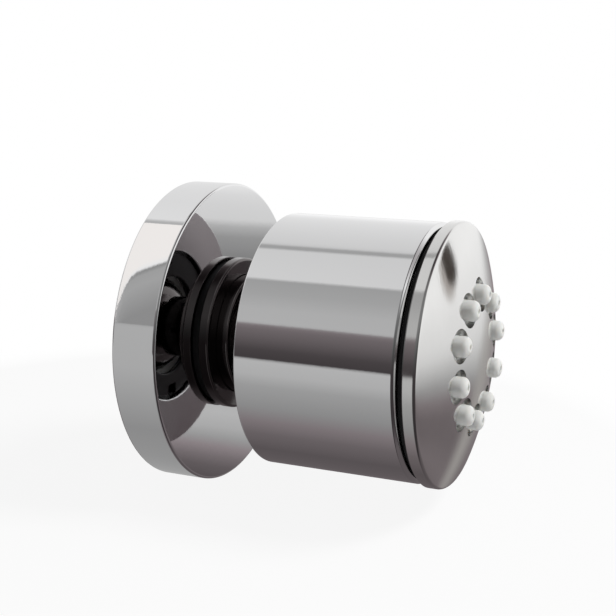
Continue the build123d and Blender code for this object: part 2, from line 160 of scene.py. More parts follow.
@dataclass
class Lathe:
    """Draws a half section with extrude and spin, and turns it about an axis along Y."""

    name: str
    centre: Point = (0.0, 0.0)  # where the axis passes, as x and z in millimetres
    steps: int = 192  # facets of the full turn

    def start(self, radius: float, depth: float, *size: float) -> "Lathe":
        """Puts down the first corner of the half section.

        Args:
            radius: Distance from the axis.
            depth: Distance from the wall plane.
            *size: The size of its round, if it gets one.

        Returns:
            The lathe itself.
        """
        deselect_all()
        self.here = (radius, depth)
        self.rings = [RoundedRing(radius, depth, one) for one in size]
        at = ((self.centre[0] + radius) * MM, -depth * MM, self.centre[1] * MM)
        bpy.ops.mesh.primitive_plane_add(size=MM, location=at)
        self.piece = bpy.context.object
        self.piece.name = self.piece.data.name = self.name
        bpy.ops.object.mode_set(mode="EDIT")
        bpy.ops.mesh.select_mode(type="VERT")
        bpy.ops.mesh.merge(type="CENTER")
        return self

    def to(self, *corners: Corner) -> "Lathe":
        """Draws straight lines from corner to corner.

        Args:
            *corners: Each one's radius and depth, and the size of its round if it gets one.

        Returns:
            The lathe itself.
        """
        for radius, depth, *size in corners:
            move = ((radius - self.here[0]) * MM, -(depth - self.here[1]) * MM, 0.0)
            bpy.ops.mesh.extrude_vertices_move(TRANSFORM_OT_translate={"value": move})
            self.here = (radius, depth)
            self.rings += [RoundedRing(radius, depth, one) for one in size]
        return self

    def arc(self, middle: Point, degrees: float, steps: int) -> "Lathe":
        """Draws an arc from the last corner about a middle.

        Args:
            middle: The arc's middle as radius and depth.
            degrees: Its turn; a positive one leads from growing depth towards growing radius.
            steps: How many lines the arc has.

        Returns:
            The lathe itself.
        """
        across, along = self.here[0] - middle[0], self.here[1] - middle[1]
        for step in range(1, steps + 1):
            turn = math.radians(degrees) * step / steps
            radius = middle[0] + across * math.cos(turn) + along * math.sin(turn)
            depth = middle[1] - across * math.sin(turn) + along * math.cos(turn)
            self.to((radius, depth))
        return self

    def outline(self) -> Piece:
        """Closes the section at its first corner and leaves it flat.

        Returns:
            The section, at the origin.
        """
        bpy.ops.mesh.select_all(action="SELECT")
        bpy.ops.mesh.remove_doubles(threshold=TOUCH)
        bpy.ops.object.mode_set(mode="OBJECT")
        bpy.ops.object.transform_apply()
        return self.piece

    def turn(self, segments: int = 6) -> Piece:
        """Closes the section at its first corner, spins it and rounds its corners.

        Args:
            segments: How many facets each round has.

        Returns:
            The finished mesh object, at the origin, with smooth shading.
        """
        bpy.ops.mesh.select_all(action="SELECT")
        middle = (self.centre[0] * MM, 0.0, self.centre[1] * MM)
        bpy.ops.mesh.spin(steps=self.steps, angle=FULL_TURN, center=middle, axis=(0.0, 1.0, 0.0))
        bpy.ops.mesh.select_all(action="SELECT")
        bpy.ops.mesh.remove_doubles(threshold=TOUCH)
        bpy.ops.mesh.dissolve_degenerate(threshold=TOUCH)
        bpy.ops.mesh.select_all(action="SELECT")
        bpy.ops.mesh.normals_make_consistent(inside=False)
        bpy.ops.object.mode_set(mode="OBJECT")
        bpy.ops.object.transform_apply()
        round_rings(self.piece, self.rings, self.centre, segments)
        return self.piece


def weigh_edges(piece: Piece, edges: Sequence[int], size: float) -> None:
    """Gives edges the bevel weight of a round.

    Args:
        piece: The object that has the edges.
        edges: The edges' numbers.
        size: The round's size in millimetres.
    """
    layer = piece.data.attributes.get("bevel_weight_edge")
    if layer is None:
        layer = piece.data.attributes.new("bevel_weight_edge", "FLOAT", "EDGE")
    for number in edges:
        layer.data[number].value = size / ROUND_UNIT


def round_weighed(piece: Piece, segments: int) -> None:
    """Rounds the weighed edges of a piece and gives it smooth shading, with its flat faces kept flat.

    Args:
        piece: The object to round.
        segments: How many facets each round has.
    """
    activate(piece)
    bpy.ops.object.shade_smooth_by_angle(angle=CREASE)
    apply_modifier(
        piece, "BEVEL", width=ROUND_UNIT * MM, segments=segments, limit_method="WEIGHT",
        harden_normals=True, miter_outer="MITER_SHARP",
    )


def round_rings(piece: Piece, rings: Sequence[RoundedRing], centre: Point, segments: int) -> None:
    """Rounds the circular edges of a turned piece.

    Args:
        piece: The turned object.
        rings: The edges to round, each with its own size.
        centre: The piece's axis, as x and z in millimetres.
        segments: How many facets each round has.
    """
    points = [vertex.co.copy() for vertex in piece.data.vertices]
    for ring in rings:
        on_ring = {number for number, point in enumerate(points) if ring.holds(point, centre)}
        edges = [e.index for e in piece.data.edges if set(e.vertices) <= on_ring]
        if not edges:
            log.warning("%s has no edge at %s", piece.name, ring)
        weigh_edges(piece, edges, ring.round)
    round_weighed(piece, segments)


@dataclass(frozen=True)
class Stop:
    """One stop of a tone scale: its place in degrees or millimetres, its tone, and a tint."""

    place: float
    tone: float
    tint: Triple = (1.0, 1.0, 1.0)


@dataclass(frozen=True)
class Patch:
    """A soft round patch in the surroundings that the spray face mirrors; angles are in degrees."""

    azimuth: float  # from +X towards +Y
    height: float  # above the horizon
    inner: float  # the angle of its full part
    outer: float  # the angle where it ends
    colour: Triple
    cover: float = 1.0  # how much it covers

    @property
    def toward(self) -> Triple:
        """The direction of its middle."""
        turn, rise = math.radians(self.azimuth), math.radians(self.height)
        return math.cos(turn) * math.cos(rise), math.sin(turn) * math.cos(rise), math.sin(rise)


@dataclass
class ShaderTree:
    """A node tree with short ways to add what the finishes and the studio need."""

    tree: bpy.types.NodeTree

    def link(self, source: Source, target: Socket) -> None:
        """Links a socket to an input, or sets the input to a value.

        Args:
            source: The socket, or a number, a vector or an opaque colour.
            target: The input.
        """
        if isinstance(source, bpy.types.NodeSocket):
            self.tree.links.new(source, target)
        else:
            target.default_value = (*source, 1.0) if target.type == "RGBA" else source

    def fill(self, node: bpy.types.Node, inputs: dict[str | int, Source]) -> None:
        """Gives a node's inputs, by name or number, their sockets or values."""
        for name, source in inputs.items():
            self.link(source, node.inputs[name])

    def add(
        self, kind: str, inputs: dict[str | int, Source] | None = None, **settings: object
    ) -> bpy.types.Node:
        """Adds a node.

        Args:
            kind: Blender's name of the node, without the ShaderNode that it starts with.
            inputs: Sockets or values for its inputs, by name or number.
            **settings: Values for its own settings.

        Returns:
            The node.
        """
        node = self.tree.nodes.new(f"ShaderNode{kind}")
        for name, value in settings.items():
            setattr(node, name, value)
        self.fill(node, inputs or {})
        return node

    def math(self, operation: str, *values: Source) -> Socket:
        """Adds a math node for sockets or numbers, and gives its result."""
        return self.add("Math", dict(enumerate(values)), operation=operation).outputs["Value"]

    def split(self, vector: Socket) -> tuple[Socket, Socket, Socket]:
        """Splits a vector into its three parts."""
        parts = self.add("SeparateXYZ", {"Vector": vector}).outputs
        return parts["X"], parts["Y"], parts["Z"]

    def smooth(self, value: Socket, low: float, high: float, top: float = 1.0) -> Socket:
        """Adds a smooth step from 0 at one value to a top value at another."""
        ends = {"Value": value, "From Min": low, "From Max": high, "To Max": top}
        return self.add("MapRange", ends, interpolation_type="SMOOTHSTEP").outputs["Result"]

    def scale(self, share: Socket, stops: Sequence[Stop], low: float, high: float) -> Socket:
        """Adds a tone scale.

        Args:
            share: The place on the scale, from 0 to 1.
            stops: Its stops, in order.
            low: The stops' place at 0.
            high: The stops' place at 1.

        Returns:
            The scale's colour.
        """
        node = self.add("ValToRGB", {"Fac": share})
        elements = node.color_ramp.elements
        elements.remove(elements[1])
        for number, stop in enumerate(stops):
            place = (stop.place - low) / (high - low)
            element = elements[0] if number == 0 else elements.new(place)
            element.position = place
            element.color = (*(min(1.0, stop.tone * tint) for tint in stop.tint), 1.0)
        return node.outputs["Color"]

    def mix(self, share: Socket, first: Source, second: Source) -> Socket:
        """Mixes two colours."""
        inputs = {"Factor": share, "A": first, "B": second}
        return self.add("Mix", inputs, data_type="RGBA").outputs["Result"]

    def blend(self, share: Socket, first: Socket, second: Socket) -> Socket:
        """Mixes two shaders."""
        return self.add("MixShader", {"Fac": share, 1: first, 2: second}).outputs["Shader"]

    def turn(self, across: Socket, up: Socket) -> Socket:
        """The angle about the jet axis from +X over the top, as a share of the full turn."""
        return self.math("FRACT", self.math("DIVIDE", self.math("ARCTAN2", up, across), FULL_TURN))

    def lay(self, patch: Patch, way: Socket, under: Socket) -> Socket:
        """Lays a soft round patch over the surroundings.

        Args:
            patch: The patch.
            way: The direction that is looked up.
            under: The colour below the patch.

        Returns:
            The colour with the patch laid on.
        """
        near = self.add("VectorMath", {0: way, 1: patch.toward}, operation="DOT_PRODUCT").outputs["Value"]
        low, high = math.cos(math.radians(patch.outer)), math.cos(math.radians(patch.inner))
        return self.mix(self.smooth(near, low, high, patch.cover), under, patch.colour)


def new_material(name: str) -> tuple[bpy.types.Material, ShaderTree]:
    """Makes a material.

    Args:
        name: The material's name.

    Returns:
        The material and its node tree.
    """
    material = bpy.data.materials.new(name)
    material.use_nodes = True
    return material, ShaderTree(material.node_tree)


class Relief(Enum):
    """The shader node groups that all finishes share."""

    TONE = "Surface Tone"
    GRAIN = "Fine Grain"


def new_group(relief: Relief, inputs: dict[str, str], outputs: dict[str, str]) -> bpy.types.NodeTree:
    """Makes an empty shader node group with named sockets.

    Args:
        relief: Which group it is.
        inputs: Each input's name with its kind.
        outputs: Each output's name with its kind.

    Returns:
        The node group, with its input and output nodes added.
    """
    group = bpy.data.node_groups.new(relief.value, "ShaderNodeTree")
    for way, sockets in (("INPUT", inputs), ("OUTPUT", outputs)):
        for name, kind in sockets.items():
            group.interface.new_socket(name, in_out=way, socket_type=f"NodeSocket{kind}")
    group.nodes.new("NodeGroupInput")
    group.nodes.new("NodeGroupOutput")
    return group


def tone_group() -> bpy.types.NodeTree:
    """Builds the group, once, that varies a surface's colour and roughness in soft clouds.

    Returns:
        The node group.
    """
    if Relief.TONE.value in bpy.data.node_groups:
        return bpy.data.node_groups[Relief.TONE.value]
    inputs = {"Light": "Color", "Dark": "Color", "Scale": "Float", "Smooth": "Float", "Rough": "Float"}
    group = new_group(Relief.TONE, inputs, {"Color": "Color", "Roughness": "Float"})
    kit = ShaderTree(group)
    given, result = group.nodes["Group Input"].outputs, group.nodes["Group Output"].inputs
    place = kit.add("TexCoord").outputs["Object"]
    clouds = kit.add("TexNoise", {"Vector": place, "Scale": given["Scale"], "Detail": 4.0}).outputs["Fac"]
    kit.link(kit.mix(clouds, given["Dark"], given["Light"]), result["Color"])
    spread = kit.add("MapRange", {
        "Value": clouds, "From Min": 0.3, "From Max": 0.7,
        "To Min": given["Smooth"], "To Max": given["Rough"],
    })
    kit.link(spread.outputs["Result"], result["Roughness"])
    return group


def grain_group() -> bpy.types.NodeTree:
    """Builds the group, once, that puts out the height of a fine grain over a slow waviness.

    Returns:
        The node group.
    """
    if Relief.GRAIN.value in bpy.data.node_groups:
        return bpy.data.node_groups[Relief.GRAIN.value]
    inputs = {"Stretch": "Vector", "Grain": "Float", "Wave": "Float", "Waviness": "Float"}
    group = new_group(Relief.GRAIN, inputs, {"Height": "Float"})
    kit = ShaderTree(group)
    given, result = group.nodes["Group Input"].outputs, group.nodes["Group Output"].inputs
    place = kit.add("TexCoord").outputs["Object"]
    fine = kit.add("VectorMath", {0: place, 1: given["Stretch"]}, operation="MULTIPLY").outputs["Vector"]
    grain = kit.add("TexNoise", {"Vector": fine, "Scale": given["Grain"], "Detail": 3.0}).outputs["Fac"]
    wave = kit.add("TexNoise", {"Vector": place, "Scale": given["Wave"], "Detail": 0.0}).outputs["Fac"]
    both = kit.add("Mix", {"Factor": given["Waviness"], "A": grain, "B": wave})
    kit.link(both.outputs["Result"], result["Height"])
    return group


@dataclass(frozen=True)
class Finish:
    """A procedural finish: clouds of tone and gloss over a fine relief."""

    name: str
    slot: str  # the record's material slot
    light: Triple
    dark: Triple
    metallic: float = 0.0
    smooth: float = 0.3  # its lowest roughness
    rough: float = 0.5  # its highest roughness
    clouds: float = 60.0  # scale of the clouds, per metre
    grain: float = 1500.0  # scale of the grain, per metre
    stretch: Triple = (1.0, 1.0, 1.0)  # how much finer the grain is along X, Y and Z
    wave: float = 40.0  # scale of the slow waviness, per metre
    waviness: float = 0.2  # its share of the relief
    strength: float = 0.2  # strength of the relief
    relief: float = 0.02  # height of the relief in millimetres
    subsurface: float = 0.0  # share of light that goes under the surface
    scatter: Triple = (1.0, 0.9, 0.8)  # how far its red, green and blue go there, times the reach
    scatter_reach: float = 0.9  # in millimetres
    gloss: float = 0.5  # level of its mirror light

    def material(self) -> bpy.types.Material:
        """Builds the material once and hands it out.

        Returns:
            The material.
        """
        if self.name in bpy.data.materials:
            return bpy.data.materials[self.name]
        material, kit = new_material(self.name)
        tone = kit.add("Group", {
            "Light": self.light, "Dark": self.dark, "Scale": self.clouds,
            "Smooth": self.smooth, "Rough": self.rough,
        }, node_tree=tone_group()).outputs
        grain = kit.add("Group", {
            "Stretch": self.stretch, "Grain": self.grain, "Wave": self.wave, "Waviness": self.waviness,
        }, node_tree=grain_group()).outputs
        relief = {"Height": grain["Height"], "Strength": self.strength, "Distance": self.relief * MM}
        inputs = {
            "Base Color": tone["Color"], "Roughness": tone["Roughness"], "Metallic": self.metallic,
            "Specular IOR Level": self.gloss, "Normal": kit.add("Bump", relief).outputs["Normal"],
        }
        if self.subsurface:
            inputs["Subsurface Weight"] = self.subsurface
            inputs["Subsurface Radius"] = self.scatter
            inputs["Subsurface Scale"] = self.scatter_reach * MM
        kit.fill(kit.tree.nodes["Principled BSDF"], inputs)
        return material


POLISHED_CHROME = Finish(
    "polished chrome", "polished_chrome", (0.86, 0.86, 0.865), (0.82, 0.82, 0.825), metallic=1.0,
    smooth=0.02, rough=0.05, clouds=35.0, grain=900.0, wave=34.0, waviness=0.985, strength=0.4,
    relief=0.35,
)
# Painted shade: chrome made dark for the lock ring and stem, which sit in the shade between the flange and
# the head.
SHADE_DARKENED_CHROME = Finish(
    "chrome darkened as painted shade", "polished_chrome", (0.17, 0.155, 0.155), (0.11, 0.10, 0.10), metallic=1.0,
    smooth=0.08, rough=0.15, clouds=120.0, grain=2600.0, stretch=(0.15, 2.0, 0.15), waviness=0.5,
    strength=0.1,
)
SATIN_CHROME = Finish(
    "satin chrome", "satin_chrome", (0.85, 0.845, 0.835), (0.77, 0.765, 0.755), metallic=1.0,
    smooth=0.07, rough=0.13, clouds=160.0, grain=1500.0, stretch=(1.0, 1.0, 0.12), wave=95.0,
    waviness=0.93, strength=0.3, relief=0.35,
)
# Rougher chrome for the head's rear face, made darker as painted shade from the gap between the head and
# the flange.
SHADED_DULL_CHROME = Finish(
    "dull chrome with painted shade", "polished_chrome", (0.50, 0.465, 0.475), (0.40, 0.37, 0.38), metallic=1.0,
    smooth=0.36, rough=0.44, clouds=120.0, grain=2600.0, strength=0.1,
)
# Painted shade: nearly black metal for the ball nut, which sits in the shade of the head's opening.
SHADE_BLACKENED_METAL = Finish(
    "metal blackened as painted shade", "brass", (0.022, 0.021, 0.022), (0.014, 0.013, 0.014), metallic=1.0,
    smooth=0.3, rough=0.4, clouds=140.0, strength=0.1,
)
BRASS = Finish(
    "bare brass", "brass", (0.78, 0.61, 0.33), (0.66, 0.49, 0.24), metallic=1.0,
    smooth=0.2, rough=0.34, clouds=110.0, strength=0.12,
)
STEEL = Finish(
    "stainless steel", "steel", (0.66, 0.66, 0.67), (0.55, 0.55, 0.56), metallic=1.0,
    smooth=0.2, rough=0.32, clouds=300.0, strength=0.12,
)
BLACK_RUBBER = Finish(
    "black rubber", "black_rubber", (0.024, 0.024, 0.025), (0.012, 0.012, 0.013),
    smooth=0.6, rough=0.75, clouds=220.0, grain=3200.0, strength=0.3, gloss=0.15,
)
WHITE_SILICONE = Finish(
    "white silicone", "white_silicone", (0.88, 0.88, 0.855), (0.81, 0.815, 0.79),
    smooth=0.3, rough=0.42, clouds=260.0, grain=3000.0, strength=0.12, relief=0.015, subsurface=0.35,
)
WHITE_PLASTIC = Finish(
    "white moulded plastic", "white_plastic", (0.82, 0.82, 0.80), (0.76, 0.76, 0.74),
    smooth=0.36, rough=0.46, clouds=150.0, grain=2400.0, strength=0.16,
)
GREY_PLASTIC = Finish(
    "grey moulded plastic", "grey_plastic", (0.24, 0.25, 0.26), (0.17, 0.18, 0.19),
    smooth=0.38, rough=0.5, clouds=150.0, grain=2400.0, strength=0.2,
)


def dress(piece: Piece, finish: Finish, side: Side, *nodes: str) -> Piece:
    """Gives a modelled piece its finish, its body and the nodes that it stands for.

    Args:
        piece: The finished mesh object.
        finish: What it is made of.
        side: The body that it moves with.
        *nodes: The CAD nodes that it replaces.

    Returns:
        The same object.
    """
    piece.data.materials.clear()
    piece.data.materials.append(finish.material())
    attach(piece, side.value)
    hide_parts(*nodes)
    log.info("%s: %d faces, %s", piece.name, len(piece.data.polygons), finish.name)
    return piece


def refinish(finish: Finish, *nodes: str) -> None:
    """Gives CAD nodes that stay as they are a better material.

    Args:
        finish: What they are made of.
        *nodes: The nodes' names.
    """
    for node in nodes:
        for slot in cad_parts[node].material_slots:
            slot.material = finish.material()
        log.info("%s keeps its solid, %s", node, finish.name)


@dataclass(frozen=True)
class BallSeat:
    """The ball and the socket round it: both spheres share one centre on the jet axis."""

    centre: float = 31.5  # depth of the shared centre
    ball: float = 11.0
    socket: float = 12.5

    def at(self, radius: float, latitude: float) -> Point:
        """A point about the ball's centre.

        Args:
            radius: Distance from the centre.
            latitude: Degrees from the widest circle; positive is towards the spray face.

        Returns:
            The point as radius from the jet axis and depth.
        """
        angle = math.radians(latitude)
        return radius * math.cos(angle), self.centre + radius * math.sin(angle)


@dataclass(frozen=True)
class FaceDome:
    """The spherical dome of the spray face, and the surfaces behind it."""

    radius: float = 68.0
    edge: float = 25.45  # outer radius of the plate
    edge_round: float = 0.8
    rear: float = 55.06  # depth of the plate's rear
    side: float = 1.9  # straight part of the plate's side

    @property
    def lean(self) -> float:
        """The dome's slope where it meets its edge round, in degrees."""
        return math.degrees(math.asin((self.edge - self.edge_round) / (self.radius - self.edge_round)))

    @property
    def centre(self) -> float:
        """Depth of the dome's middle on the jet axis."""
        return self.rear + self.side - (self.radius - self.edge_round) * math.cos(math.radians(self.lean))

    def depth(self, radius: float, inset: float = 0.0) -> float:
        """Depth of the dome at a radius, or of a surface that lies behind it by an inset."""
        return self.centre + math.sqrt((self.radius - inset) ** 2 - radius**2)


@dataclass
class WallSide:
    """The flange and what holds it: a polished cup, a lock ring with its washer, and the turned ball stem.

    Lengths are in millimetres, and depths are measured from the wall plane.
    """

    flange_radius: float = 30.25
    flange_depth: float = 9.2
    flange_wall: float = 1.8
    hub_wall: float = 3.4
    hub_depth: float = 5.6
    shank: float = 12.0
    fit: float = 0.05  # gap between the shank and what sits on it
    seal: float = 0.9  # section radius of the seal in the hub
    seal_width: float = 2.0  # of the soft ring inside the flange's rim
    seal_height: float = 1.6
    washer_radius: float = 14.6
    washer_depth: float = 0.9
    ring_radius: float = 15.3
    ring_depth: float = 2.1
    shank_front: float = 14.8
    shoulder: float = 1.6  # depth where the shank starts
    relief: float = 9.28  # radius behind the thread
    thread: float = 10.48
    thread_root: float = 9.32
    thread_pitch: float = 1.814
    thread_length: float = 12.0
    thread_crest: float = 0.06  # half of the crest's width, as a share of the pitch
    thread_flank: float = 0.3  # a flank's width along the axis, as a share of the pitch
    thread_ease: Point = (0.1, 0.08)  # how far the crest's edges are broken, across and along
    thread_bed: float = 0.3  # how far the ridge reaches into the core
    thread_start: float = 0.3  # where the ridge starts, from the thread's end
    inlet_bore: float = 6.5
    inlet_bore_depth: float = 10.0
    water_bore: float = 4.0
    neck: float = 6.2
    key: float = 8.1  # across the flats of the socket
    key_depth: float = 9.0
    key_over: float = 1.0  # how much longer than the socket its cut is
    seat: BallSeat = BallSeat()

    def flange(self) -> Piece:
        """Turns the wall flange: front face, rim, hub and the seal's groove.

        Returns:
            The flange.
        """
        bore, cup = self.shank + self.fit, self.flange_radius - self.flange_wall
        hub, hub_rear = self.shank + self.hub_wall, self.flange_depth - self.hub_depth
        floor = self.flange_depth - self.flange_wall
        groove = bore + 2 * self.seal
        middle = self.flange_depth - self.hub_depth / 2
        lathe = Lathe("flange_polished", steps=256).start(bore, hub_rear, 0.2)
        lathe.to((hub, hub_rear, 0.3), (hub, floor, 0.5), (cup, floor, 0.8), (cup, 0.0, 0.15))
        lathe.to((self.flange_radius, 0.0, 0.4), (self.flange_radius, self.flange_depth, 0.5))
        lathe.to((bore, self.flange_depth, 0.15), (bore, middle + self.seal), (groove, middle + self.seal))
        lathe.to((groove, middle - self.seal), (bore, middle - self.seal), (bore, hub_rear))
        return lathe.turn()

    def rim_seal(self) -> Piece:
        """Turns the soft ring inside the flange's rim.

        Returns:
            The ring.
        """
        outer, front = self.flange_radius - self.flange_wall - self.fit, self.seal_height
        inner = outer - self.seal_width
        lathe = Lathe("rim_seal", steps=160).start(inner, 0.0, 0.3)
        lathe.to((outer, 0.0, 0.3), (outer, front, 0.3), (inner, front, 0.3), (inner, 0.0))
        return lathe.turn(4)

    def washer(self) -> Piece:
        """Turns the dark washer between the flange and the lock ring.

        Returns:
            The washer.
        """
        bore, front = self.shank + self.fit, self.flange_depth + self.washer_depth
        lathe = Lathe("lock_ring_washer", steps=160).start(bore, self.flange_depth)
        lathe.to((self.washer_radius, self.flange_depth), (self.washer_radius, front, 0.15))
        lathe.to((bore, front), (bore, self.flange_depth))
        return lathe.turn(3)

    def lock_ring(self) -> Piece:
        """Turns the polished lock ring with its rounded front.

        Returns:
            The ring.
        """
        bore, rear = self.shank + self.fit, self.flange_depth + self.washer_depth
        front = rear + self.ring_depth
        lathe = Lathe("lock_ring_polished").start(bore, rear)
        lathe.to((self.ring_radius, rear, 0.15), (self.ring_radius, front, 0.6), (bore, front, 0.2))
        return lathe.to((bore, rear)).turn()

    def thread_ridge(self) -> Piece:
        """Winds the pipe thread's ridge with a screw, as long as the thread, and closes its ends.

        Returns:
            The ridge.
        """
        turns = round(self.thread_length / self.thread_pitch) - 1
        crest = self.thread_crest * self.thread_pitch
        shoulder = crest + self.thread_ease[1]
        foot = shoulder + self.thread_flank * self.thread_pitch
        half = (
            (self.thread, crest), (self.thread - self.thread_ease[0], shoulder),
            (self.thread_root, foot), (self.thread_root - self.thread_bed, foot),
        )
        middle = self.thread_start - self.thread_length + foot
        points = [(radius, middle - reach) for radius, reach in reversed(half)]
        points += [(radius, middle + reach) for radius, reach in half]
        ridge = Lathe("thread_ridge").start(*points[0]).to(*points[1:], points[0]).outline()
        apply_modifier(
            ridge, "SCREW", axis="Y", angle=FULL_TURN, screw_offset=-self.thread_pitch * MM,
            iterations=turns, steps=72, render_steps=72, use_merge_vertices=True, merge_threshold=TOUCH,
        )
        bpy.ops.object.mode_set(mode="EDIT")
        bpy.ops.mesh.select_all(action="SELECT")
        bpy.ops.mesh.fill_holes(sides=0)
        bpy.ops.mesh.select_all(action="SELECT")
        bpy.ops.mesh.normals_make_consistent(inside=False)
        bpy.ops.object.mode_set(mode="OBJECT")
        bpy.ops.object.shade_smooth_by_angle(angle=math.radians(30))
        return ridge

    def stem(self) -> Piece:
        """Turns the stem: thread core, shank, neck and ball, with bores, key socket and thread ridge.

        Returns:
            The stem.
        """
        end = -self.thread_length
        mouth_latitude = math.degrees(math.acos(self.water_bore / self.seat.ball))
        neck_latitude = -math.degrees(math.acos(self.neck / self.seat.ball))
        mouth = self.seat.at(self.seat.ball, mouth_latitude)
        floor, ease = end + self.inlet_bore_depth, 0.6
        lathe = Lathe("stem_body", steps=128).start(*mouth, 0.2)
        lathe.to((self.water_bore, floor), (self.inlet_bore, floor), (self.inlet_bore, end, 0.3))
        lathe.to((self.thread_root - ease, end), (self.thread_root, end + ease), (self.thread_root, 0.0))
        lathe.to((self.relief, 0.0), (self.relief, self.shoulder), (self.shank, self.shoulder, 0.2))
        lathe.to((self.shank, self.shank_front, 0.6), (self.neck, self.shank_front, 0.6))
        lathe.to(self.seat.at(self.seat.ball, neck_latitude))
        stem = lathe.arc((0.0, self.seat.centre), neck_latitude - mouth_latitude, 40).turn()
        middle = mouth[1] - (self.key_depth - self.key_over) / 2
        cut_hole(stem, 6, self.key / math.sqrt(3), self.key_depth + self.key_over, (0.0, middle, 0.0))
        return join([stem, self.thread_ridge()], "ball_stem_turned")

    def build(self) -> None:
        """Builds and dresses every piece of the wall side."""
        dress(self.flange(), POLISHED_CHROME, Side.WALL, "wall_flange")
        dress(self.rim_seal(), BLACK_RUBBER, Side.WALL, "wall_seal")
        dress(self.washer(), BLACK_RUBBER, Side.WALL, "collar_washer")
        # The lock ring and the stem take chrome darkened as painted shade.
        dress(self.lock_ring(), SHADE_DARKENED_CHROME, Side.WALL, "lock_ring")
        dress(self.stem(), SHADE_DARKENED_CHROME, Side.WALL, "ball_stem")
        refinish(BLACK_RUBBER, "flange_seal", "inlet_seal")
        refinish(WHITE_PLASTIC, "inlet_filter")


@dataclass
class JetHead:
    """The head's shell and the nut that holds it on the ball.

    Lengths are in millimetres, and depths are measured from the wall plane.
    """

    radius: float = 25.0
    rear: float = 22.5
    front: float = 53.7
    wall: float = 1.7
    rear_wall: float = 2.0
    opening: float = 15.6  # radius of the opening for the joint
    chamfer: float = 0.65
    nut_radius: float = 15.2
    nut_recess: float = 1.0  # how deep the nut lies in the opening
    nut_slots: int = 4
    nut_slot_width: float = 3.2
    nut_slot_depth: float = 1.5
    mouth_latitude: float = -36.0  # where the socket ends, in degrees from the widest circle
    flare: float = 15.0  # slope of the nut's mouth, in degrees
    on_face: float = 0.02  # how near the rear face the middles of its facets are
    seat: BallSeat = BallSeat()

    def shell(self) -> Piece:
        """Turns the head's polished shell.

        Returns:
            The shell.
        """
        inner, floor = self.radius - self.wall, self.rear + self.rear_wall
        lathe = Lathe("head_polished", steps=256).start(self.opening, self.rear, 0.3)
        lathe.to((self.radius, self.rear, 0.3), (self.radius, self.front - self.chamfer, 0.12))
        lathe.to((self.radius - self.chamfer, self.front, 0.12), (inner, self.front, 0.15))
        lathe.to((inner, floor, 0.4), (self.opening, floor, 0.2), (self.opening, self.rear))
        return lathe.turn()

    def dull_and_shade_rear(self, shell: Piece) -> None:
        """Gives the shell's rear face a rougher chrome, made darker as painted shade from the gap between
        the head and the flange.

        Args:
            shell: The dressed shell.
        """
        shell.data.materials.append(SHADED_DULL_CHROME.material())
        for face in shell.data.polygons:
            if abs(face.center.y + self.rear * MM) < self.on_face * MM:
                face.material_index = 1

    def nut(self) -> Piece:
        """Turns the ball nut and cuts its spanner slots.

        Returns:
            The nut.
        """
        rear = self.rear + self.nut_recess
        mouth = self.seat.at(self.seat.socket, self.mouth_latitude)
        flare = mouth[0] + (mouth[1] - rear) * math.tan(math.radians(self.flare))
        lathe = Lathe("ball_nut_turned", steps=160).start(self.seat.socket, self.seat.centre)
        lathe.to((self.nut_radius, self.seat.centre), (self.nut_radius, rear, 0.3), (flare, rear, 0.25))
        lathe.to((*mouth, 0.2))
        nut = lathe.arc((0.0, self.seat.centre), self.mouth_latitude, 14).turn()
        for slot in range(self.nut_slots):
            deselect_all()
            bpy.ops.mesh.primitive_cube_add(size=1.0, location=(self.nut_radius * MM, -rear * MM, 0.0))
            bpy.ops.transform.resize(value=(
                (self.nut_radius - flare) * MM, 2 * self.nut_slot_depth * MM, self.nut_slot_width * MM,
            ))
            bpy.ops.object.transform_apply()
            cutter = bpy.context.object
            cutter.data.transform(Matrix.Rotation(FULL_TURN * slot / self.nut_slots, 4, "Y"))
            cut(nut, cutter)
        return nut

    def build(self) -> None:
        """Builds and dresses the head, and refinishes what is inside."""
        shell = dress(self.shell(), POLISHED_CHROME, Side.HEAD, "head_shell")
        # The rear face gets darker chrome as painted shade.
        self.dull_and_shade_rear(shell)
        # The nut takes nearly black metal as painted shade.
        dress(self.nut(), SHADE_BLACKENED_METAL, Side.HEAD, "ball_nut")
        refinish(BLACK_RUBBER, "joint_seal", "core_seal", "regulator_ring")
        refinish(GREY_PLASTIC, "head_core")
        refinish(BRASS, "core_lock_ring")
        refinish(WHITE_PLASTIC, "flow_regulator", "rear_seat_ring", "front_seat_ring")


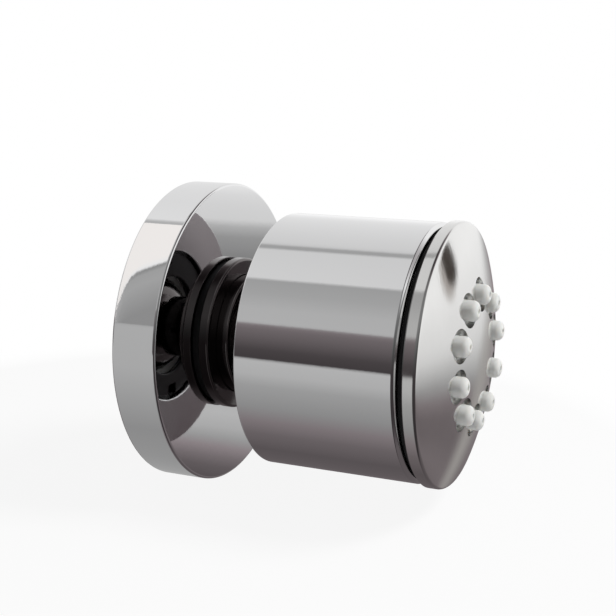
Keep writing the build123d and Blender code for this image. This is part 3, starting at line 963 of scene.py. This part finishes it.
@dataclass
class SprayFace:
    """The domed face plate, its seal, and the soft mat with its ring of nozzles.

    Lengths are in millimetres, and depths are measured from the wall plane.
    """

    dome: FaceDome = FaceDome()
    skirt: float = 23.2  # outer radius of the skirt that goes into the head
    skirt_wall: float = 2.0
    skirt_rear: float = 49.7
    wall: float = 2.0
    rear_chamfer: float = 0.25
    seal_radius: float = 23.45
    seal_depth: float = 54.38
    seal_section: float = 0.62  # radius of the seal's round section
    count: int = 10
    ring: float = 12.0  # radius of the nozzles' circle
    clock: float = 85.0  # where the first nozzle stands, in degrees from +X towards +Z
    hole: float = 3.2  # radius of the recess round each nozzle
    hole_round: float = 0.42
    hole_cut: float = 12.0  # length of the cut, well through the plate
    on_rim: Point = (0.01, 0.05)  # how near the rim its points are, across and along
    nozzle: float = 1.95
    tip_round: float = 1.2
    rise: float = 1.8  # how far the tips stand out of the dome
    bore: float = 0.55  # radius of a nozzle's outlet
    outlet: float = 1.2  # how long the outlet is
    feed: float = 1.2  # radius of the hollow behind the outlet
    foot: float = 2.4  # radius of a nozzle's foot
    foot_height: float = 0.6
    mat_wall: float = 1.3
    mat_gap: float = 0.6  # between the mat and the skirt
    fit: float = 0.05  # between the mat and the plate

    def seats(self) -> list[Point]:
        """Works out where the nozzles stand, as x and z."""
        angles = [math.radians(self.clock + 360 * n / self.count) for n in range(self.count)]
        return [(self.ring * math.cos(angle), self.ring * math.sin(angle)) for angle in angles]

    def plate(self) -> Piece:
        """Turns the face plate and cuts a recess with a rounded rim for each nozzle.

        Returns:
            The plate.
        """
        dome, inner, chamfer = self.dome, self.skirt - self.skirt_wall, self.rear_chamfer
        lathe = Lathe("face_domed", steps=256).start(dome.edge - chamfer, dome.rear)
        lathe.to((dome.edge, dome.rear + chamfer), (dome.edge, dome.rear + dome.side))
        lathe.arc((dome.edge - dome.edge_round, dome.rear + dome.side), dome.lean - 90.0, 10)
        lathe.arc((0.0, dome.centre), -dome.lean, 36)
        lathe.to((0.0, dome.depth(0.0, self.wall)))
        lathe.arc((0.0, dome.centre), math.degrees(math.asin(inner / (dome.radius - self.wall))), 12)
        lathe.to((inner, self.skirt_rear, 0.2), (self.skirt, self.skirt_rear, 0.2))
        plate = lathe.to((self.skirt, dome.rear), (dome.edge - chamfer, dome.rear)).turn(3)
        for x, z in self.seats():
            cut_hole(plate, 64, self.hole, self.hole_cut, (x, dome.depth(0.0), z))
        weigh_edges(plate, self.rim_edges(plate), self.hole_round)
        round_weighed(plate, 4)
        return plate

    def rim_edges(self, plate: Piece) -> list[int]:
        """Finds the edges of the recesses' front rims.

        Args:
            plate: The plate with its recesses cut.

        Returns:
            The edges' numbers.
        """
        on_rim = set()
        for vertex in plate.data.vertices:
            x, z, depth = vertex.co.x / MM, vertex.co.z / MM, -vertex.co.y / MM
            near = min(abs(math.hypot(x - sx, z - sz) - self.hole) for sx, sz in self.seats())
            beyond = abs(depth - self.dome.depth(math.hypot(x, z)))
            if near < self.on_rim[0] and beyond < self.on_rim[1]:
                on_rim.add(vertex.index)
        return [edge.index for edge in plate.data.edges if set(edge.vertices) <= on_rim]

    def seal(self) -> Piece:
        """Makes the round seal in the groove behind the plate.

        Returns:
            The seal.
        """
        deselect_all()
        bpy.ops.mesh.primitive_torus_add(
            major_radius=self.seal_radius * MM, minor_radius=self.seal_section * MM,
            major_segments=192, minor_segments=20, location=(0.0, -self.seal_depth * MM, 0.0),
            rotation=LYING,
        )
        seal = bpy.context.object
        seal.name = seal.data.name = "groove_seal"
        bpy.ops.object.transform_apply()
        bpy.ops.object.shade_smooth()
        return seal

    def one_nozzle(self, place: Point) -> Piece:
        """Turns one hollow nozzle with its foot.

        Args:
            place: Where it stands, as x and z.

        Returns:
            The nozzle.
        """
        tip = self.dome.depth(self.ring) + self.rise
        front = self.dome.depth(self.ring, self.wall + self.fit)
        back, shoulder, outlet = front - self.mat_wall, front + self.foot_height, tip - self.outlet
        flat = self.nozzle - self.tip_round
        start = math.asin((self.bore - flat) / self.tip_round)
        mouth = tip - self.tip_round * (1 - math.cos(start))
        lathe = Lathe("nozzle", place, steps=64).start(self.feed, back)
        lathe.to((self.feed, outlet), (self.bore, outlet), (self.bore, mouth, 0.12))
        lathe.arc((flat, tip - self.tip_round), 90.0 - math.degrees(start), 12)
        lathe.to((self.nozzle, shoulder, 0.3), (self.foot, shoulder, 0.3))
        lathe.to((self.foot, front - self.mat_wall / 2), (self.nozzle, back), (self.feed, back))
        return lathe.turn(4)

    def mat(self) -> Piece:
        """Makes the domed mat and sets the nozzles on it.

        Returns:
            The mat.
        """
        radius = self.skirt - self.skirt_wall - self.mat_gap
        front, back = self.wall + self.fit, self.wall + self.fit + self.mat_wall
        front_turn, back_turn = (
            math.degrees(math.asin(radius / (self.dome.radius - inset))) for inset in (front, back)
        )
        lathe = Lathe("nozzle_mat_soft", steps=160).start(0.0, self.dome.depth(0.0, front))
        lathe.arc((0.0, self.dome.centre), front_turn, 12)
        lathe.to((radius, self.dome.depth(radius, back)))
        lathe.arc((0.0, self.dome.centre), -back_turn, 12)
        lathe.to((0.0, self.dome.depth(0.0, front)))
        disc = lathe.turn()
        nozzles = [self.one_nozzle(place) for place in self.seats()]
        return join([disc, *nozzles], "nozzle_mat_soft")

    def build(self) -> None:
        """Builds and dresses the spray face, and refinishes what is behind it."""
        dress(self.plate(), SATIN_CHROME, Side.HEAD, "face_plate")
        dress(self.seal(), BLACK_RUBBER, Side.HEAD, "face_seal")
        dress(self.mat(), WHITE_SILICONE, Side.HEAD, "nozzle_mat")
        refinish(GREY_PLASTIC, "spray_plate")
        refinish(STEEL, "spray_screws")


WARM = (1.07, 0.93, 0.97)

# The light tent behind the wall plane, by the angle about the jet axis from +X over the top
FAR_TONES = (
    Stop(0, 1.0), Stop(10, 0.96), Stop(16, 0.9), Stop(24, 0.84), Stop(48, 0.775), Stop(70, 0.71),
    Stop(73.5, 0.66), Stop(76, 0.4), Stop(79, 0.4), Stop(81, 0.695), Stop(112.5, 0.72), Stop(115, 0.39),
    Stop(128, 0.42), Stop(142, 0.49), Stop(154.5, 0.5), Stop(156.5, 0.21, WARM), Stop(160, 0.165, WARM),
    Stop(168, 0.125, WARM), Stop(178, 0.068, WARM), Stop(186, 0.055, WARM), Stop(187.5, 0.525),
    Stop(200, 0.49), Stop(211, 0.38), Stop(232, 0.3), Stop(248, 0.22, WARM), Stop(264, 0.15, WARM),
    Stop(288, 0.105, WARM), Stop(318, 0.12, WARM), Stop(334, 0.15, WARM), Stop(350, 0.27, WARM),
    Stop(355, 0.45), Stop(358, 1.0),
)
# The tent in front of the jet, by the height above the horizon in degrees
NEAR_TONES = (
    Stop(-90, 0.06, WARM), Stop(-45, 0.12, WARM), Stop(-36, 0.16, WARM), Stop(-32, 0.18, WARM),
    Stop(-27, 0.15, WARM), Stop(-23, 0.155, WARM), Stop(-20, 0.215, WARM), Stop(-17, 0.36),
    Stop(-14, 0.55), Stop(-11, 0.74), Stop(-8, 0.82), Stop(-4, 0.88), Stop(0, 0.95), Stop(3, 1.0),
    Stop(34, 0.95), Stop(42, 0.2, WARM), Stop(60, 0.05, WARM), Stop(90, 0.03, WARM),
)
# The tent to the left of the jet, where it is dim, by the height above the horizon in degrees
DIM_TONES = (
    Stop(-90, 0.03, WARM), Stop(-30, 0.04, WARM), Stop(-5, 0.05, WARM), Stop(5, 0.08), Stop(30, 0.22),
    Stop(50, 0.2), Stop(90, 0.08, WARM),
)
# The sleeve that only the flange's side mirrors, by the angle about the jet axis
SLEEVE_TONES = (
    Stop(0, 0.92), Stop(16, 0.83), Stop(70, 0.81), Stop(90, 0.84), Stop(92.5, 0.5), Stop(94.5, 0.5),
    Stop(166, 0.31), Stop(167.5, 0.475), Stop(194, 0.46), Stop(216, 0.38), Stop(240, 0.305),
    Stop(270, 0.33), Stop(300, 0.38), Stop(312, 0.42), Stop(322, 0.2, WARM), Stop(350, 0.25, WARM),
    Stop(356, 0.4), Stop(359, 0.9),
)
# The card that only the flange's front face mirrors, by its height in millimetres
CARD_TONES = (
    Stop(-72, 0.07, WARM), Stop(-64.5, 0.13, WARM), Stop(-61.5, 0.19, WARM), Stop(-58.5, 0.275, WARM),
    Stop(-55.5, 0.37), Stop(-52.5, 0.47), Stop(-48, 0.53), Stop(-44, 0.5), Stop(-20, 0.25),
    Stop(-4.5, 0.17), Stop(-1.5, 0.25), Stop(1.5, 0.3), Stop(4.5, 0.34), Stop(7.5, 0.49),
    Stop(9.5, 0.72), Stop(13.5, 0.75), Stop(16.5, 0.8), Stop(19.5, 0.93), Stop(24, 1.0),
)
# The tones across the curved edge of the sleeve's white patch, in degrees from that edge
PATCH_TONES = (
    Stop(-40, 1.0, (1.0, 0.965, 0.94)), Stop(-6, 1.0, (1.0, 0.965, 0.94)), Stop(-2, 0.95),
    Stop(0, 0.28), Stop(3, 0.4), Stop(10, 0.42), Stop(30, 0.31), Stop(40, 0.31),
)
# The soft patches in front of the jet
PATCHES = (
    Patch(-6.0, -22.0, 7.0, 18.0, (0.38, 0.365, 0.35), 0.9),
    Patch(11.0, -14.0, 5.0, 14.0, (1.0, 1.0, 1.0)),
    Patch(-40.5, 4.2, 2.0, 6.5, (0.26, 0.215, 0.185), 0.75),
    Patch(-37.2, 5.8, 3.0, 6.0, (0.035, 0.025, 0.02), 0.97),
)


@dataclass
class Studio:
    """A plain pale floor, soft light, what the polish mirrors, and the camera, in mm and degrees."""

    floor_height: float = -30.6
    floor_radius: float = 3000.0
    floor_fade: Point = (30.0, 120.0)  # how far out the floor starts to turn white, and is white
    floor_white: float = 0.9  # how white the camera sees it under the object
    azimuth: float = -66.3  # the camera's direction
    elevation: float = 12.44  # its height above the horizon
    aim: Triple = (0.0, -22.5, 0.0)  # the point that the camera's place is given from
    offset: Triple = (-3.71, 5.96, 241.4)  # the aim in the camera's frame: right, down and forwards
    lens: float = 70.235  # for a sensor of 36 mm
    lamp_place: Triple = (100.0, -450.0, 520.0)
    lamp_aim: Triple = (0.0, -30.0, 0.0)
    lamp_size: float = 220.0
    lamp_power: float = 3.2  # in watts
    ambient: float = 0.2  # strength of the plain light
    dim_edge: Point = (-0.2, 0.12)  # from the dim left to the front, as X of the direction
    far_edge: Point = (-0.25, 0.1)  # from the front to behind the wall plane, as Y of it
    sleeve_radius: float = 100.0
    sleeve_near: float = 26.0  # where the sleeve starts behind the wall plane
    sleeve_far: float = 58.0  # where it ends
    patch: Point = (94.5, 166.5)  # the angles between which it has its white patch
    patch_edge: Point = (85.6, 1.2)  # where the patch ends at the wall plane, and its growth per mm
    patch_flare: Triple = (2.0, 3.3, 41.0)  # that edge's extra turn, its growth, and where it is so much
    card_side: float = 85.0  # how far to the right the card stands
    card_along: Point = (30.0, 90.0)  # where it starts and ends, as depths
    card_up: Point = (-72.0, 24.0)  # its lower and upper edge
    card_reach: float = 22.55  # the depth that parts the rays that see it from those that pass

    def floor(self) -> None:
        """Lays the floor: it keeps the object's shadow near by and fades to the white of the background."""
        deselect_all()
        bpy.ops.mesh.primitive_circle_add(
            vertices=96, radius=self.floor_radius * MM, fill_type="NGON",
            location=(0.0, 0.0, self.floor_height * MM),
        )
        floor = bpy.context.object
        floor.name = "studio_floor"
        bpy.ops.object.transform_apply()
        material, kit = new_material("pale floor")
        nodes = kit.tree.nodes
        shader = nodes["Principled BSDF"]
        kit.fill(shader, {"Base Color": (0.93, 0.93, 0.93), "Roughness": 0.9, "Specular IOR Level": 0.1})
        place = kit.add("TexCoord").outputs["Object"]
        reach = kit.add("VectorMath", {0: place}, operation="LENGTH").outputs["Value"]
        fade = kit.smooth(reach, *(far * MM for far in self.floor_fade))
        white = kit.math("MAXIMUM", fade, self.floor_white)
        share = kit.math("MULTIPLY", white, kit.add("LightPath").outputs["Is Camera Ray"])
        glow = kit.add("Emission").outputs["Emission"]
        kit.link(kit.blend(share, shader.outputs["BSDF"], glow), nodes["Material Output"].inputs["Surface"])
        floor.data.materials.append(material)
        floor.visible_glossy = False

    def reflector(self, kind: str) -> ShaderTree:
        """Makes a reflector of the active object: only mirrored rays see it.

        Args:
            kind: Which reflector it is.

        Returns:
            Its material's node tree, with nothing but the output in it.
        """
        reflector = bpy.context.object
        reflector.name = f"studio_{kind}"
        bpy.ops.object.transform_apply()
        bpy.ops.object.shade_smooth()
        material, kit = new_material(f"reflector {kind}")
        kit.tree.nodes.remove(kit.tree.nodes["Principled BSDF"])
        reflector.data.materials.append(material)
        reflector.visible_camera = False
        reflector.visible_diffuse = False
        reflector.visible_shadow = False
        reflector.visible_transmission = False
        return kit

    def sleeve(self) -> None:
        """Hangs the sleeve: a wide ring behind the wall plane that only the flange's side mirrors."""
        deselect_all()
        middle, length = (self.sleeve_near + self.sleeve_far) / 2, self.sleeve_far - self.sleeve_near
        bpy.ops.mesh.primitive_cylinder_add(
            vertices=128, radius=self.sleeve_radius * MM, depth=length * MM, end_fill_type="NOTHING",
            location=(0.0, middle * MM, 0.0), rotation=LYING,
        )
        kit = self.reflector("sleeve")
        across, along, up = kit.split(kit.add("TexCoord").outputs["Object"])
        share, along = kit.turn(across, up), kit.math("DIVIDE", along, MM)
        angle = kit.math("MULTIPLY", share, 360.0)
        turn, growth, there = self.patch_flare
        rise = kit.math("POWER", growth, kit.math("SUBTRACT", along, there))
        straight = kit.math("ADD", kit.math("MULTIPLY", along, self.patch_edge[1]), self.patch_edge[0])
        edge = kit.math("ADD", straight, kit.math("MULTIPLY", rise, turn))
        low, high = PATCH_TONES[0].place, PATCH_TONES[-1].place
        beyond = kit.math("ADD", kit.math("DIVIDE", kit.math("SUBTRACT", angle, edge), high - low), 0.5)
        ring, patch = kit.scale(share, SLEEVE_TONES, 0.0, 360.0), kit.scale(beyond, PATCH_TONES, low, high)
        after = kit.math("GREATER_THAN", angle, self.patch[0])
        before = kit.math("LESS_THAN", angle, self.patch[1])
        glow = kit.add("Emission", {"Color": kit.mix(kit.math("MULTIPLY", after, before), ring, patch)})
        kit.link(glow.outputs["Emission"], kit.tree.nodes["Material Output"].inputs["Surface"])

    def card(self) -> None:
        """Stands the card beside the jet: only rays that come from behind the spray face see its tones."""
        deselect_all()
        (near, far), (low, high) = self.card_along, self.card_up
        bpy.ops.mesh.primitive_plane_add(
            size=1.0, location=(self.card_side * MM, -(near + far) / 2 * MM, (low + high) / 2 * MM),
            rotation=(0.0, math.pi / 2, 0.0),
        )
        bpy.ops.transform.resize(value=(1.0, (far - near) * MM, (high - low) * MM), orient_type="GLOBAL")
        kit = self.reflector("card")
        place, length = kit.add("NewGeometry").outputs, kit.add("LightPath").outputs["Ray Length"]
        _, here, height = kit.split(place["Position"])
        _, back, _ = kit.split(place["Incoming"])
        origin = kit.math("ADD", here, kit.math("MULTIPLY", back, length))
        seen = kit.math("GREATER_THAN", origin, -self.card_reach * MM)
        share = kit.math("DIVIDE", kit.math("SUBTRACT", height, low * MM), (high - low) * MM)
        glow = kit.add("Emission", {"Color": kit.scale(share, CARD_TONES, low, high)}).outputs["Emission"]
        shown = kit.blend(seen, kit.add("BsdfTransparent").outputs["BSDF"], glow)
        kit.link(shown, kit.tree.nodes["Material Output"].inputs["Surface"])

    def world(self) -> None:
        """Sets the surroundings: white for the camera, plain light, and a light tent for reflections."""
        world = bpy.data.worlds.new("light tent")
        bpy.context.scene.world = world
        world.use_nodes = True
        kit = ShaderTree(world.node_tree)
        kit.tree.nodes.clear()
        way = kit.add("TexCoord").outputs["Generated"]
        across, along, up = kit.split(way)
        height = kit.math("ADD", kit.math("DIVIDE", kit.math("ARCSINE", up), math.pi), 0.5)
        far = kit.scale(kit.turn(across, up), FAR_TONES, 0.0, 360.0)
        near, dim = (kit.scale(height, tones, -90.0, 90.0) for tones in (NEAR_TONES, DIM_TONES))
        front = kit.mix(kit.smooth(across, *self.dim_edge), dim, near)
        for patch in PATCHES:
            front = kit.lay(patch, way, front)
        seen = kit.mix(kit.smooth(along, *self.far_edge), front, far)
        white = (1.0, 1.0, 1.0)
        reflected, plain, backdrop = (
            kit.add("Background", {"Color": colour, "Strength": strength}).outputs["Background"]
            for colour, strength in ((seen, 1.0), (white, self.ambient), (white, 1.0))
        )
        rays = kit.add("LightPath").outputs
        shown = kit.blend(rays["Is Glossy Ray"], plain, reflected)
        shown = kit.blend(rays["Is Camera Ray"], shown, backdrop)
        kit.add("OutputWorld", {"Surface": shown})

    def lamp(self) -> None:
        """Hangs a soft square lamp that faces the object and that no mirror shows."""
        data = bpy.data.lights.new("key_lamp", "AREA")
        data.size, data.energy = self.lamp_size * MM, self.lamp_power
        lamp = bpy.data.objects.new("key_lamp", data)
        bpy.context.scene.collection.objects.link(lamp)
        lamp.location = Vector(self.lamp_place) * MM
        aim = Vector(self.lamp_aim) - Vector(self.lamp_place)
        lamp.rotation_euler = aim.to_track_quat("-Z", "Y").to_euler()
        lamp.visible_glossy = False

    def camera(self) -> None:
        """Puts the camera where the photograph was taken from."""
        data = bpy.data.cameras.new("camera")
        data.lens, data.sensor_width, data.clip_start = self.lens, 36.0, 0.01
        camera = bpy.data.objects.new("camera", data)
        bpy.context.scene.collection.objects.link(camera)
        tilt = Matrix.Rotation(math.radians(90.0 - self.elevation), 4, "X")
        turned = Matrix.Rotation(math.radians(self.azimuth), 4, "Z") @ tilt
        across, down, forward = self.offset
        place = (Vector(self.aim) + turned @ Vector((-across, down, forward))) * MM
        camera.matrix_world = Matrix.Translation(place) @ turned
        bpy.context.scene.camera = camera

    def build(self) -> None:
        """Builds the studio and sets the view transform."""
        self.floor()
        self.sleeve()
        self.card()
        self.world()
        self.lamp()
        self.camera()
        bpy.context.scene.view_settings.view_transform = "Standard"


def main() -> None:
    """Builds the body jet's looks on the frame, then the studio."""
    logging.basicConfig(level=logging.INFO, format="%(name)s: %(message)s")
    WallSide().build()
    JetHead().build()
    SprayFace().build()
    Studio().build()
    deselect_all()


if __name__ == "__main__":
    main()
